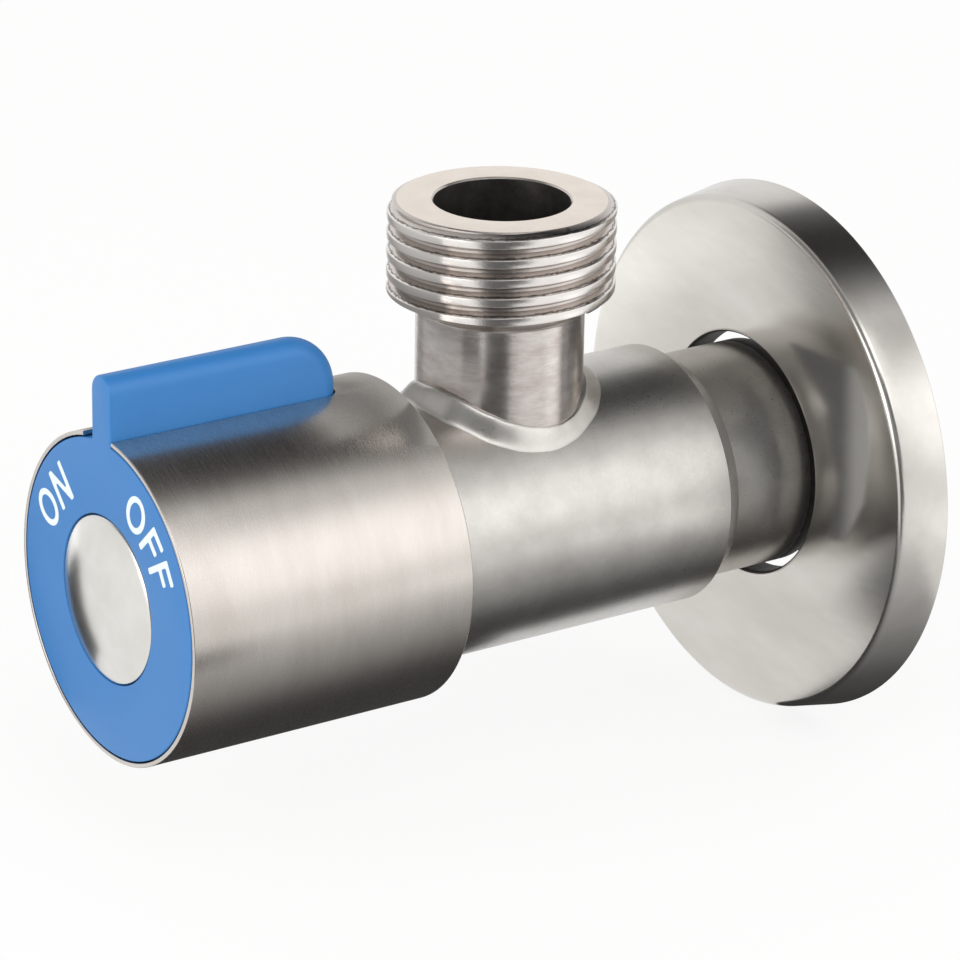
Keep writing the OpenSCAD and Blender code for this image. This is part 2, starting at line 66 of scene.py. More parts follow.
# %% Camera
MM = 0.001
camera_turn = math.radians(56.53)
camera_rise = math.radians(21.64)
camera_roll = math.radians(0.83)
camera_distance = 450.42 * MM
camera_target = Vector((0, -40 * MM, 4 * MM))
LENS_MM = 184.0
FRAME_SHIFT = (0.0493, 0.0037)

back = Vector((math.sin(camera_turn) * math.cos(camera_rise),
               -math.cos(camera_turn) * math.cos(camera_rise), math.sin(camera_rise)))
level_right = Vector((math.cos(camera_turn), math.sin(camera_turn), 0))
level_up = back.cross(level_right)
right = math.cos(camera_roll) * level_right + math.sin(camera_roll) * level_up
up = math.cos(camera_roll) * level_up - math.sin(camera_roll) * level_right
bpy.ops.object.camera_add()
camera = bpy.context.object
camera.name = "camera"
camera.matrix_world = Matrix.Translation(camera_target + back * camera_distance) @ Matrix(
    (right, up, back)).transposed().to_4x4()
camera.data.lens = LENS_MM
camera.data.shift_x, camera.data.shift_y = FRAME_SHIFT
bpy.context.scene.camera = camera
print("camera at", [round(v, 3) for v in camera.location])

# %% [markdown]
# ## Tools for modelling by hand
# Most parts of a valve are turned on a lathe. The same is done here: an outline is drawn point by point
# and spun about an axis. A real edge is never quite sharp, so each corner of an outline carries its own
# small radius.

# %% Outlines
MERGE = 0.002 * MM
TURN = 2 * math.pi
TURN_STEPS = 192


def rounded(corners, steps=5):
    """Turns corners (x, y, radius) of a closed outline into points, with an arc at each corner."""
    points = []
    for i, (x, y, radius) in enumerate(corners):
        corner = Vector((x, y))
        before = Vector(corners[i - 1][:2]) - corner
        after = Vector(corners[(i + 1) % len(corners)][:2]) - corner
        half = before.angle(after) / 2 if radius else 0
        if not radius or half > math.radians(88):
            points.append((x, y))
            continue
        reach = min(radius / math.tan(half), before.length * 0.49, after.length * 0.49)
        size = reach * math.tan(half)
        start = corner + before.normalized() * reach
        end = corner + after.normalized() * reach
        middle = corner + (before.normalized() + after.normalized()).normalized() * size / math.sin(half)
        first, last = (start - middle).normalized(), (end - middle).normalized()
        points += [tuple(middle + size * first.slerp(last, k / steps)) for k in range(steps + 1)]
    return points


def pick(piece):
    """Deselects everything else and makes the piece active."""
    bpy.ops.object.select_all(action="DESELECT")
    piece.select_set(True)
    bpy.context.view_layer.objects.active = piece


def apply_modifiers(piece):
    """Applies the piece's modifiers in their order."""
    pick(piece)
    for name in [modifier.name for modifier in piece.modifiers]:
        bpy.ops.object.modifier_apply(modifier=name)


def draw_outline(name, points, closed=True):
    """Draws a line of points in edit mode: one point is extruded to the next. Leaves edit mode on."""
    bpy.ops.object.select_all(action="DESELECT")
    bpy.ops.mesh.primitive_plane_add(size=MM)
    piece = bpy.context.object
    piece.name = piece.data.name = name
    places = [Vector(point) for point in points]
    bpy.ops.object.mode_set(mode="EDIT")
    bpy.ops.mesh.select_mode(type="VERT")
    bpy.ops.mesh.select_all(action="SELECT")
    bpy.ops.mesh.merge(type="CENTER")
    bpy.ops.transform.translate(value=places[0])
    for here, there in zip(places, places[1:] + places[:1] * closed):
        bpy.ops.mesh.extrude_region_move(TRANSFORM_OT_translate={"value": there - here})
    bpy.ops.mesh.select_all(action="SELECT")
    bpy.ops.mesh.remove_doubles(threshold=MERGE)
    bpy.ops.mesh.select_all(action="SELECT")
    return piece


def spin(name, points, axis, centre=(0, 0, 0), closed=True):
    """Spins an outline about an axis, as a lathe does."""
    piece = draw_outline(name, points, closed)
    bpy.ops.mesh.spin(steps=TURN_STEPS, angle=TURN, center=centre, axis=axis)
    bpy.ops.mesh.select_all(action="SELECT")
    bpy.ops.mesh.remove_doubles(threshold=MERGE)
    bpy.ops.mesh.delete_loose()
    bpy.ops.mesh.select_all(action="SELECT")
    bpy.ops.mesh.normals_make_consistent(inside=False)
    bpy.ops.object.mode_set(mode="OBJECT")
    return piece


def on_valve_axis(corners):
    """Corners (distance in front of the wall, radius, rounding) in mm become points in metres."""
    return [(radius * MM, -distance * MM, 0) for distance, radius in rounded(corners)]


print("lathe:", TURN_STEPS, "steps to the turn")

# %% Cutting, joining and handing over
def cut(piece, tool, operation="DIFFERENCE"):
    """Cuts a piece with another one, or joins them, and removes the tool."""
    modifier = piece.modifiers.new("cut", "BOOLEAN")
    modifier.object = tool
    modifier.operation = operation
    modifier.solver = "EXACT"
    apply_modifiers(piece)
    bpy.data.objects.remove(tool)


def select_edges(piece, test):
    """Selects the edges whose two ends both pass the test, given in mm, and goes into edit mode."""
    pick(piece)
    bpy.ops.object.mode_set(mode="EDIT")
    bpy.ops.mesh.select_mode(type="EDGE")
    bpy.ops.mesh.select_all(action="DESELECT")
    bpy.ops.object.mode_set(mode="OBJECT")
    for edge in piece.data.edges:
        ends = [piece.data.vertices[v].co / MM for v in edge.vertices]
        edge.select = test(*ends)
    bpy.ops.object.mode_set(mode="EDIT")


def join(piece, *others):
    """Joins other meshes to the piece."""
    pick(piece)
    for other in others:
        other.select_set(True)
    bpy.ops.object.join()


def smooth(piece, degrees=28):
    """Shades the piece smooth, apart from edges that turn by more than the angle."""
    pick(piece)
    bpy.ops.object.shade_smooth_by_angle(angle=math.radians(degrees))


def settle(piece, body, slot, *replaced):
    """Hands a finished piece to the frame: what it rides on, its finish slot (not used) and the nodes it
    replaces.
    """
    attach(piece, body)
    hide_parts(*replaced)
    low = [min(v.co[i] for v in piece.data.vertices) / MM for i in range(3)]
    high = [max(v.co[i] for v in piece.data.vertices) / MM for i in range(3)]
    print(piece.name, len(piece.data.polygons), "faces, from", [round(v, 2) for v in low],
          "to", [round(v, 2) for v in high], "mm")


print("corners merge within", round(MERGE / MM, 4), "mm")

# %% [markdown]
# ## Pipe thread
# Both ends have a half-inch pipe thread: 14 turns to the inch, so a pitch of 1.814 mm. One ridge is drawn
# as a small outline and screwed up the axis. Then it is cut to length by a cylinder with chamfered ends,
# as the bar was chamfered before the die ran over it.

# %% Thread ridge
PITCH = 1.814
THREAD_R = 10.4775
ROOT_R = 9.72
CREST_HALF = 0.36
FOOT_HALF = 0.8
RIDGE_SUNK = 0.3
RIDGE_STEPS = 144


def thread_ridge(name, bottom, top, chamfer=0.86, chamfer_height=0.42):
    """A right-handed ridge about the Z axis, in mm, from one height to another."""
    sunk = ROOT_R - RIDGE_SUNK
    corners = [(sunk, -FOOT_HALF, 0), (ROOT_R, -FOOT_HALF, 0.05), (THREAD_R - 0.02, -CREST_HALF, 0.08),
               (THREAD_R, 0, 0), (THREAD_R - 0.02, CREST_HALF, 0.08), (ROOT_R, FOOT_HALF, 0.05),
               (sunk, FOOT_HALF, 0)]
    turns = (top - bottom) / PITCH + 1
    start = bottom - PITCH / 2
    ridge = draw_outline(name, [(x * MM, 0, (start + z) * MM) for x, z in rounded(corners, 4)])
    bpy.ops.object.mode_set(mode="OBJECT")
    screw = ridge.modifiers.new("screw", "SCREW")
    screw.angle = TURN * turns
    screw.screw_offset = PITCH * turns * MM
    screw.steps = screw.render_steps = round(RIDGE_STEPS * turns)
    screw.use_merge_vertices = False
    apply_modifiers(ridge)
    bpy.ops.object.mode_set(mode="EDIT")
    bpy.ops.mesh.select_all(action="SELECT")
    bpy.ops.mesh.fill_holes(sides=0)
    bpy.ops.mesh.select_all(action="SELECT")
    bpy.ops.mesh.normals_make_consistent(inside=False)
    bpy.ops.object.mode_set(mode="OBJECT")
    end_r, side_r = THREAD_R - chamfer, THREAD_R + 0.02
    sides = [(0, bottom), (end_r, bottom), (side_r, bottom + chamfer_height), (side_r, top - chamfer_height),
             (end_r, top), (0, top)]
    blank = spin("thread_blank", [(r * MM, 0, z * MM) for r, z in sides], axis=(0, 0, 1), closed=False)
    cut(ridge, blank, "INTERSECT")
    return ridge


print("thread pitch", PITCH, "mm, depth", round(THREAD_R - ROOT_R, 3), "mm")

# %% [markdown]
# ## Body
# Barrel, shoulder, shank and inlet are turned from one bar, bored from both ends and drilled for the
# outlet's neck. The barrel is blasted to a soft satin. The profile is spun, the neck's hole is cut with a
# cylinder, and the inlet's ridge is joined on.

# %% Body
OUTLET_POS = 32.9
BODY_R = 12.35
NECK_R = 7.75
body = spin("barrel_and_shank", on_valve_axis([
    (-9, 7.5, 0.05), (-9, 9.4, 0.05), (-8.68, ROOT_R, 0), (0.78, ROOT_R, 0), (1.2, 9.3, 0.1),
    (2.4, 9.3, 0.15), (2.4, 10.8, 0.6), (4.5, 10.8, 0), (13.2, 10.8, 0.25), (13.2, 11.2, 0.06),
    (14.75, 12.2, 0.1), (14.9, BODY_R, 0.12), (51.5, BODY_R, 0.1), (52, 11.85, 0.1), (52, 11.05, 0.1),
    (50.4, 11.05, 0.05), (50.4, 10, 0.05), (43.4, 10, 0.05), (43.4, 9.4, 0.05), (25, 9.4, 0.2),
    (25, 7, 0.2), (-8.5, 7, 0.05)]),
    axis=(0, 1, 0))
bpy.ops.object.select_all(action="DESELECT")
bpy.ops.mesh.primitive_cylinder_add(vertices=TURN_STEPS, radius=NECK_R * MM, depth=16 * MM,
                                    location=(0, -OUTLET_POS * MM, 12 * MM))
cut(body, bpy.context.object)
inlet_ridge = thread_ridge("inlet_ridge", -9, 1.2)
pick(inlet_ridge)
inlet_ridge.rotation_euler.x = math.radians(90)
bpy.ops.object.transform_apply(rotation=True)
join(body, inlet_ridge)
smooth(body)
print("barrel", 2 * BODY_R, "mm across,", len(body.data.polygons), "faces")

# %% [markdown]
# ## Weld bead
# The neck stands on the barrel, and the torch leaves a bead in the corner between them. A ring is spun
# straight about the neck. Then each of its points is let down onto the barrel's curve, so the bead follows
# the saddle. A hand-held torch isn't steady, so height and width change on the way round, as measured on
# the real bead.

# %% Weld bead
BEAD_HEIGHTS = [(-180, 1.1), (-140, 0.8), (-122, 0.85), (-108, 1.45), (-94, 1.69), (-71, 1.9), (-54, 1.95),
                (-40, 1.7), (-24, 1.57), (-8, 1.48), (4, 1.22), (17, 1.0), (28, 0.85), (60, 1.05),
                (110, 1.3), (150, 1.25), (180, 1.1)]
BEAD_SIDE_W = 1.15
BEAD_END_W = 2.25
BEAD_STEPS = 18
BEAD_FOOT_Z = -0.7


def bead_height(angle):
    """Height of the bead's back in mm at an angle in degrees, eased from one measured height to the next."""
    for (a, low), (b, high) in zip(BEAD_HEIGHTS, BEAD_HEIGHTS[1:]):
        if a <= angle <= b:
            share = (angle - a) / (b - a)
            return low + (high - low) * (3 - 2 * share) * share * share


def bead_profile(share):
    """Height of the bead, from the neck (0) to its foot (1): a thin crease, a round back and a soft foot."""
    back = (0.5 + 0.5 * math.cos(math.pi * share ** 1.05)) ** 1.2
    return back * (1 - 0.14 * math.exp(-(share / 0.09) ** 2))


shares = [k / BEAD_STEPS for k in range(BEAD_STEPS + 1)]
roll = [(NECK_R - 0.6, 0.8), *[(NECK_R + share, bead_profile(share)) for share in shares],
        (NECK_R + 1, BEAD_FOOT_Z), (NECK_R - 0.6, BEAD_FOOT_Z)]
bead = spin("weld_bead", [(r * MM, -OUTLET_POS * MM, z * MM) for r, z in roll], axis=(0, 0, 1),
            centre=(0, -OUTLET_POS * MM, 0))
for vertex in bead.data.vertices:
    offset = (vertex.co - Vector((0, -OUTLET_POS * MM, 0))) / MM
    angle = math.atan2(offset.y, offset.x)
    radius = offset.xy.length
    width = BEAD_SIDE_W + (BEAD_END_W - BEAD_SIDE_W) * math.sin(angle) ** 2
    ripple = 1 + 0.015 * math.sin(9 * angle) + 0.015 * math.sin(17 * angle + 1)
    if radius > NECK_R:
        radius = NECK_R + (radius - NECK_R) * width * ripple
    height = offset.z * (bead_height(math.degrees(angle)) * ripple if offset.z > 0 else 1)
    saddle = math.sqrt(BODY_R ** 2 - (radius * math.cos(angle)) ** 2)
    vertex.co = (radius * math.cos(angle) * MM, (radius * math.sin(angle) - OUTLET_POS) * MM,
                 (saddle - 0.03 + height) * MM)
smooth(bead, 40)
join(body, bead)
settle(body, "valve", "body_steel", "valve_body")

# %% [markdown]
# ## Outlet
# Neck and threaded head are one turned piece. Its foot is cut to the chamber's curve, where it is welded
# in. The sealing face on top is flat, with a fine chamfer around the bore.

# %% Outlet
OUTLET_TOP = 30.3
THREAD_FOOT = 22.2
NECK_TOP = 20.3
CHAMBER_R = 9.45
neck_outline = rounded([
    (6.25, 5, 0), (NECK_R, 5, 0), (NECK_R, NECK_TOP, 0.5), (ROOT_R, 21.75, 0.1),
    (ROOT_R, OUTLET_TOP - 0.12, 0.05), (ROOT_R - 0.12, OUTLET_TOP, 0.05), (6.42, OUTLET_TOP, 0.05),
    (6.25, OUTLET_TOP - 0.17, 0.05)])
outlet = spin("outlet_neck", [(r * MM, -OUTLET_POS * MM, z * MM) for r, z in neck_outline],
              axis=(0, 0, 1), centre=(0, -OUTLET_POS * MM, 0))
bpy.ops.object.select_all(action="DESELECT")
bpy.ops.mesh.primitive_cylinder_add(vertices=TURN_STEPS, radius=CHAMBER_R * MM, depth=40 * MM,
                                    location=(0, -OUTLET_POS * MM, 0), rotation=(math.radians(90), 0, 0))
cut(outlet, bpy.context.object)
outlet_ridge = thread_ridge("outlet_ridge", THREAD_FOOT - 0.85, OUTLET_TOP - 0.02)
pick(outlet_ridge)
outlet_ridge.location = (0, -OUTLET_POS * MM, 0)
bpy.ops.object.transform_apply(location=True)
join(outlet, outlet_ridge)
smooth(outlet)
settle(outlet, "valve", "nozzle_steel", "outlet_nozzle")

# %% [markdown]
# ## Wall plate
# The plate is pressed from 0.7 mm sheet. It slides on the shank and hides the hole in the wall. The press
# leaves one small radius around the face, turns a short collar in around the hole, and the rim is cut
# square.

# %% Wall plate
plate = spin("wall_plate", on_valve_axis([
    (0, 25.05, 0.05), (0, 25.75, 0.12), (4.9, 24.9, 0.75), (4.9, 11.7, 0.5), (1.9, 11.7, 0.12),
    (1.9, 12.4, 0.12), (4.2, 12.4, 0.3), (4.2, 24.25, 0.1)]), axis=(0, 1, 0))
smooth(plate)
settle(plate, "cover_plate", "plate_steel", "escutcheon")

# %% [markdown]
# ## Handle sleeve
# A sleeve of thin tube covers the handle's plastic core. A slot, open at the front, lets the lever
# through. The slot is cut with a box whose two inner corners are rounded, and its edge is broken with a
# fine bevel.

# %% Handle sleeve
FRONT = 74.4
SHELL_R = 15.25
LEVER_X = -0.7
LEVER_HALF = 1.65
LEVER_TAIL = 50.7
SHELL_T = 0.4
SLOT_LENGTH = 30
SLOT_HEIGHT = 12
SLOT_CORNER_R = 1.5
slot_left = LEVER_X - LEVER_HALF - 1.55
slot_right = LEVER_X + LEVER_HALF + 0.1
slot_end = LEVER_TAIL - 0.08

sleeve = spin("handle_sleeve", on_valve_axis([
    (45.5, SHELL_R - SHELL_T, 0.08), (45.5, SHELL_R, 0.18), (FRONT, SHELL_R, 0.12),
    (FRONT, SHELL_R - SHELL_T, 0.08)]), axis=(0, 1, 0))
bpy.ops.object.select_all(action="DESELECT")
bpy.ops.mesh.primitive_cube_add(
    size=MM, scale=(slot_right - slot_left, SLOT_LENGTH, SLOT_HEIGHT),
    location=((slot_left + slot_right) / 2 * MM, -(slot_end + SLOT_LENGTH / 2) * MM, 12 * MM))
slot_tool = bpy.context.object
bpy.ops.object.transform_apply(location=True, scale=True)
for edge in slot_tool.data.edges:
    ends = [slot_tool.data.vertices[v].co for v in edge.vertices]
    edge.select = all(abs(end.y + slot_end * MM) < MERGE for end in ends) and abs(ends[0].x - ends[1].x) < MERGE
for part in (slot_tool.data.vertices, slot_tool.data.polygons):
    part.foreach_set("select", [False] * len(part))
bpy.ops.object.mode_set(mode="EDIT")
bpy.ops.mesh.select_mode(type="EDGE")
bpy.ops.mesh.bevel(offset=SLOT_CORNER_R * MM, segments=12, affect="EDGES")
bpy.ops.object.mode_set(mode="OBJECT")
cut(sleeve, slot_tool)
edge_break = sleeve.modifiers.new("edge break", "BEVEL")
edge_break.width = 0.06 * MM
edge_break.segments = 2
edge_break.limit_method = "ANGLE"
edge_break.angle_limit = math.radians(50)
apply_modifiers(sleeve)
smooth(sleeve)
settle(sleeve, "handle", "shell_steel", "handle_shell")

# %% [markdown]
# ## Dial and lever
# One blue moulding carries the front ring and the lever. The ring is spun. The lever starts as a box: the
# upper rear corner is rounded, then the outer edge on both sides becomes a full round, and the front gets
# a small radius, as a mould does it.

# %% Dial and lever
DIAL_R = 14.7
DIAL_REAR = FRONT - 1.6
CAP_HOLE_R = 7.82
LEVER_TAIL_R = 5
LEVER_FRONT_R = 0.22

dial = spin("dial_and_lever", on_valve_axis([
    (DIAL_REAR, CAP_HOLE_R, 0.1), (DIAL_REAR, DIAL_R, 0.1), (FRONT, DIAL_R, 0.15),
    (FRONT, CAP_HOLE_R, 0.12)]), axis=(0, 1, 0))
lever_low, lever_high = 13.1, 20.9
bpy.ops.object.select_all(action="DESELECT")
bpy.ops.mesh.primitive_cube_add(
    size=MM, location=(LEVER_X * MM, -(LEVER_TAIL + FRONT) / 2 * MM, (lever_low + lever_high) / 2 * MM),
    scale=(2 * LEVER_HALF, FRONT - LEVER_TAIL, lever_high - lever_low))
lever = bpy.context.object
bpy.ops.object.transform_apply(location=True, scale=True)
select_edges(lever, lambda a, b: min(a.z, b.z) > lever_high - 0.01 and max(-a.y, -b.y) < LEVER_TAIL + 0.01)
bpy.ops.mesh.bevel(offset=LEVER_TAIL_R * MM, segments=20, affect="EDGES")
bpy.ops.object.mode_set(mode="OBJECT")


def on_outer_edge(a, b):
    """Whether an edge runs along the lever's top or round its tail."""
    along = abs(a.x - b.x) < 0.01
    above = min(a.z, b.z) > lever_low + 0.01 or max(-a.y, -b.y) < LEVER_TAIL + 0.01
    return along and above and min(-a.y, -b.y) < FRONT - 0.01


select_edges(lever, on_outer_edge)
bpy.ops.mesh.bevel(offset=(LEVER_HALF - 0.03) * MM, segments=14, affect="EDGES")
bpy.ops.object.mode_set(mode="OBJECT")
select_edges(lever, lambda a, b: min(-a.y, -b.y) > FRONT - 0.01 and max(a.z, b.z) > lever_low + 0.01)
bpy.ops.mesh.bevel(offset=LEVER_FRONT_R * MM, segments=4, affect="EDGES")
bpy.ops.object.mode_set(mode="OBJECT")
cut(dial, lever, "UNION")
print("dial and lever", len(dial.data.polygons), "faces")

# %% [markdown]
# ## Pegs
# Four round pegs behind the dial hold it on the handle's core. One is added at a time, at its own angle.

# %% Pegs
PEG_RING_R = 10.575
PEG_R = 1.1
PEG_LENGTH = 2.4
for k in range(4):
    turn = math.radians(45 + 90 * k)
    bpy.ops.object.select_all(action="DESELECT")
    bpy.ops.mesh.primitive_cylinder_add(
        vertices=32, radius=PEG_R * MM, depth=PEG_LENGTH * MM, rotation=(math.radians(90), 0, 0),
        location=(PEG_RING_R * math.cos(turn) * MM, -(DIAL_REAR - 0.7) * MM,
                  PEG_RING_R * math.sin(turn) * MM))
    peg = bpy.context.object
    bpy.ops.object.transform_apply(location=True, rotation=True)
    join(dial, peg)
smooth(dial)
settle(dial, "handle", "blue_plastic", "lever_dial")

# %% [markdown]
# ## Lettering
# ON and OFF are printed on the dial in a condensed round hand. Each letter is a flat outline, filled and
# raised by two hundredths of a millimetre, then turned about the valve's axis to its place.

# %% Lettering
LETTER_MID_R = 11.3
INK_T = 0.02
N_OUTLINE = [(-1.4, -1.88), (-1.4, 1.88), (-0.86, 1.88), (0.84, -0.9), (0.84, 1.88), (1.4, 1.88),
             (1.4, -1.88), (0.86, -1.88), (-0.84, 0.9), (-0.84, -1.88)]
F_OUTLINE = [(-1.2, -1.88), (-1.2, 1.88), (1.15, 1.88), (1.15, 1.3), (-0.62, 1.3), (-0.62, 0.46),
             (0.92, 0.46), (0.92, -0.1), (-0.62, -0.1), (-0.62, -1.88)]


def printed(name, outline, degrees, middle):
    """Fills a flat outline, given across and up the letter, and lays it on the dial."""
    if outline:
        rim = rounded([(x, z, 0.16) for x, z in outline], 3)
        letter = draw_outline(name, [(x * MM, 0, z * MM) for x, z in rim])
        bpy.ops.mesh.edge_face_add()
    else:
        bpy.ops.object.select_all(action="DESELECT")
        bpy.ops.mesh.primitive_circle_add(vertices=64, radius=MM, rotation=(math.radians(90), 0, 0))
        letter = bpy.context.object
        letter.name = letter.data.name = name
        letter.scale = (1.55, 1.87, 1)
        bpy.ops.object.transform_apply(rotation=True, scale=True)
        bpy.ops.object.mode_set(mode="EDIT")
        bpy.ops.mesh.select_all(action="SELECT")
        bpy.ops.mesh.extrude_region_move()
        bpy.ops.transform.resize(value=(0.63, 1, 0.69), center_override=(0, 0, 0))
        bpy.ops.mesh.select_all(action="SELECT")
    bpy.ops.mesh.extrude_region_move(TRANSFORM_OT_translate={"value": (0, -2 * INK_T * MM, 0)})
    bpy.ops.mesh.select_all(action="SELECT")
    bpy.ops.mesh.normals_make_consistent(inside=False)
    bpy.ops.object.mode_set(mode="OBJECT")
    place = Matrix.Rotation(math.radians(degrees), 4, "Y") @ Matrix.Translation(
        (0, -(FRONT - INK_T) * MM, middle * MM))
    letter.data.transform(place)
    return letter


print("letters", round(N_OUTLINE[1][1] * 2, 2), "mm high")

# %% Words on the dial
word_on = printed("lettering_on", None, -62.8, LETTER_MID_R + 0.35)
join(word_on, printed("n", N_OUTLINE, -44.2, LETTER_MID_R + 0.15))
word_off = printed("lettering_off", None, 28.2, LETTER_MID_R - 0.05)
join(word_off, printed("f", F_OUTLINE, 45.6, LETTER_MID_R - 0.15),
     printed("f2", F_OUTLINE, 59.9, LETTER_MID_R - 0.2))
for word in (word_on, word_off):
    settle(word, "handle", "blue_plastic")

# %% [markdown]
# ## Centre cap
# A thin domed cap hides the handle's screw. It is pressed from sheet and polished to a satin. Its rim is
# level with the dial's face and its middle stands a little proud.

# %% Centre cap
CAP_R = 7.7
CAP_DOME = 1.5
CAP_TOP = FRONT - 0.05 + CAP_DOME
CAP_T = 0.5
dome_r = (CAP_R ** 2 + CAP_DOME ** 2) / (2 * CAP_DOME)


def dome(radius, sphere):
    """Distance in front of the wall of the dome's surface at a radius."""
    return CAP_TOP - dome_r + math.sqrt(sphere ** 2 - radius ** 2)


outer = [(dome(r, dome_r), r) for r in [(CAP_R - 0.12) * k / 24 for k in range(25)]]
edge = [(dome(CAP_R, dome_r) - 0.04, CAP_R - 0.03), (dome(CAP_R, dome_r) - 0.13, CAP_R), (71.8, CAP_R),
        (71.8, CAP_R - CAP_T)]
inner = [(dome(r, dome_r - CAP_T), r) for r in [(CAP_R - CAP_T) * (1 - k / 12) for k in range(13)]]
cap = spin("centre_cap_dome", [(r * MM, -d * MM, 0) for d, r in outer + edge + inner], axis=(0, 1, 0),
           closed=False)
smooth(cap)
settle(cap, "handle", "cap_metal", "centre_cap")

# %% [markdown]
# ## Making materials
# Colours are written as on a paint card, in sRGB hex, and one function turns them linear. Another one adds
# a node with its settings and links. All patterns read Object coordinates, and their scale comes from a
# size in millimetres.

# %% Making materials
def colour(hex_code):
    """An sRGB hex colour as linear RGBA."""
    parts = [int(hex_code[i:i + 2], 16) / 255 for i in (1, 3, 5)]
    return (*[p / 12.92 if p <= 0.04045 else ((p + 0.055) / 1.055) ** 2.4 for p in parts], 1)


def per(size_mm):
    """The texture scale at which one blob of noise measures this many millimetres."""
    return 1 / (size_mm * MM)


def add(material, kind, settings=None, links=None):
    """Adds a node, sets its settings or sockets, and links other nodes' outputs to its sockets."""
    node = material.node_tree.nodes.new(kind)
    for key, value in (settings or {}).items():
        if isinstance(key, int) or key in node.inputs:
            node.inputs[key].default_value = value
        else:
            setattr(node, key, value)
    for key, output in (links or {}).items():
        material.node_tree.links.new(output, node.inputs[key])
    return node


def start_material(name):
    """An empty node material and its output node."""
    material = bpy.data.materials.new(name)
    material.use_nodes = True
    material.node_tree.nodes.clear()
    return material, add(material, "ShaderNodeOutputMaterial")


def dress(piece, material):
    """Gives the piece one material all over."""
    piece.data.materials.clear()
    piece.data.materials.append(material)


def dress_part(piece, material, test):
    """Gives the material to the faces whose middle, in mm, passes the test."""
    piece.data.materials.append(material)
    slot = len(piece.data.materials) - 1
    for face in piece.data.polygons:
        if test(face.center / MM):
            face.material_index = slot


print("noise of 1 mm has a scale of", per(1))

# %% [markdown]
# ## Stainless steel
# The real parts are all 304 stainless, but each was finished in its own way. Blasting with fine glass
# beads gives a soft grey with a fine grain. A belt or a brush leaves lines a few hundredths wide, drawn
# here 0.15 mm wide so that they show. Heat and handling leave faint clouds of warmer and cooler grey.

# %% Stainless steel
def steel(name, light, dark, roughness, cloud_mm, grain_mm, grain_stretch=(1, 1, 1), turn=(0, 0, 0),
          grain_depth=0.004, cloud_stretch=(1, 1, 1)):
    """Stainless steel: clouds change its tint, and a grain, stretched along the brush, its relief."""
    material, output = start_material(name)
    place = add(material, "ShaderNodeTexCoord")
    cloud_place = add(material, "ShaderNodeMapping", {"Rotation": turn, "Scale": cloud_stretch},
                      {"Vector": place.outputs["Object"]})
    clouds = add(material, "ShaderNodeTexNoise", {"Scale": per(cloud_mm), "Detail": 5, "Roughness": 0.6},
                 {"Vector": cloud_place.outputs["Vector"]})
    tint = add(material, "ShaderNodeValToRGB", links={"Fac": clouds.outputs["Fac"]})
    tint.color_ramp.elements[0].position = 0.32
    tint.color_ramp.elements[0].color = colour(dark)
    tint.color_ramp.elements[1].position = 0.68
    tint.color_ramp.elements[1].color = colour(light)
    grain_place = add(material, "ShaderNodeMapping", {"Rotation": turn, "Scale": grain_stretch},
                      {"Vector": place.outputs["Object"]})
    grain = add(material, "ShaderNodeTexNoise", {"Scale": per(grain_mm), "Detail": 3, "Roughness": 0.55},
                {"Vector": grain_place.outputs["Vector"]})
    relief = add(material, "ShaderNodeBump", {"Strength": 1.0, "Distance": grain_depth * MM},
                 {"Height": grain.outputs["Fac"]})
    low, high = roughness
    gloss = add(material, "ShaderNodeMapRange",
                {"From Min": 0.3, "From Max": 0.7, "To Min": low, "To Max": high},
                {"Value": grain.outputs["Fac"]})
    surface = add(material, "ShaderNodeBsdfPrincipled", {"Metallic": 1.0},
                  {"Base Color": tint.outputs["Color"], "Roughness": gloss.outputs["Result"],
                   "Normal": relief.outputs["Normal"]})
    material.node_tree.links.new(surface.outputs["BSDF"], output.inputs["Surface"])
    return material


# Glass beads leave fine craters: a soft, even satin that still shows broad bands of light.
blasted_steel = steel("glass_bead_blasted_stainless", "#cfccc7", "#c0bdb8", (0.27, 0.36), 3.5, 0.22,
                      grain_depth=0.0016)
dress(body, blasted_steel)
print("body wears", blasted_steel.name)

# %% [markdown]
# ## Thread finish
# A die cuts the thread. Its colour follows the distance from the thread's axis: the crests are painted
# bright as a painted highlight, a band of painted shade darkens the flanks, and the grooves keep a faint
# warm tint. Noise breaks the edges of these bands.

# %% Thread finish
# Colours by height, from root to crest: the dark band is painted shade, the bright crest a painted highlight.
THREAD_HIGHLIGHT_AND_SHADE = ((0.1, "#cdc5c0"), (0.52, "#dad3ce"), (0.62, "#7d746e"), (0.72, "#7d746e"), (0.8, "#ece7e3"))


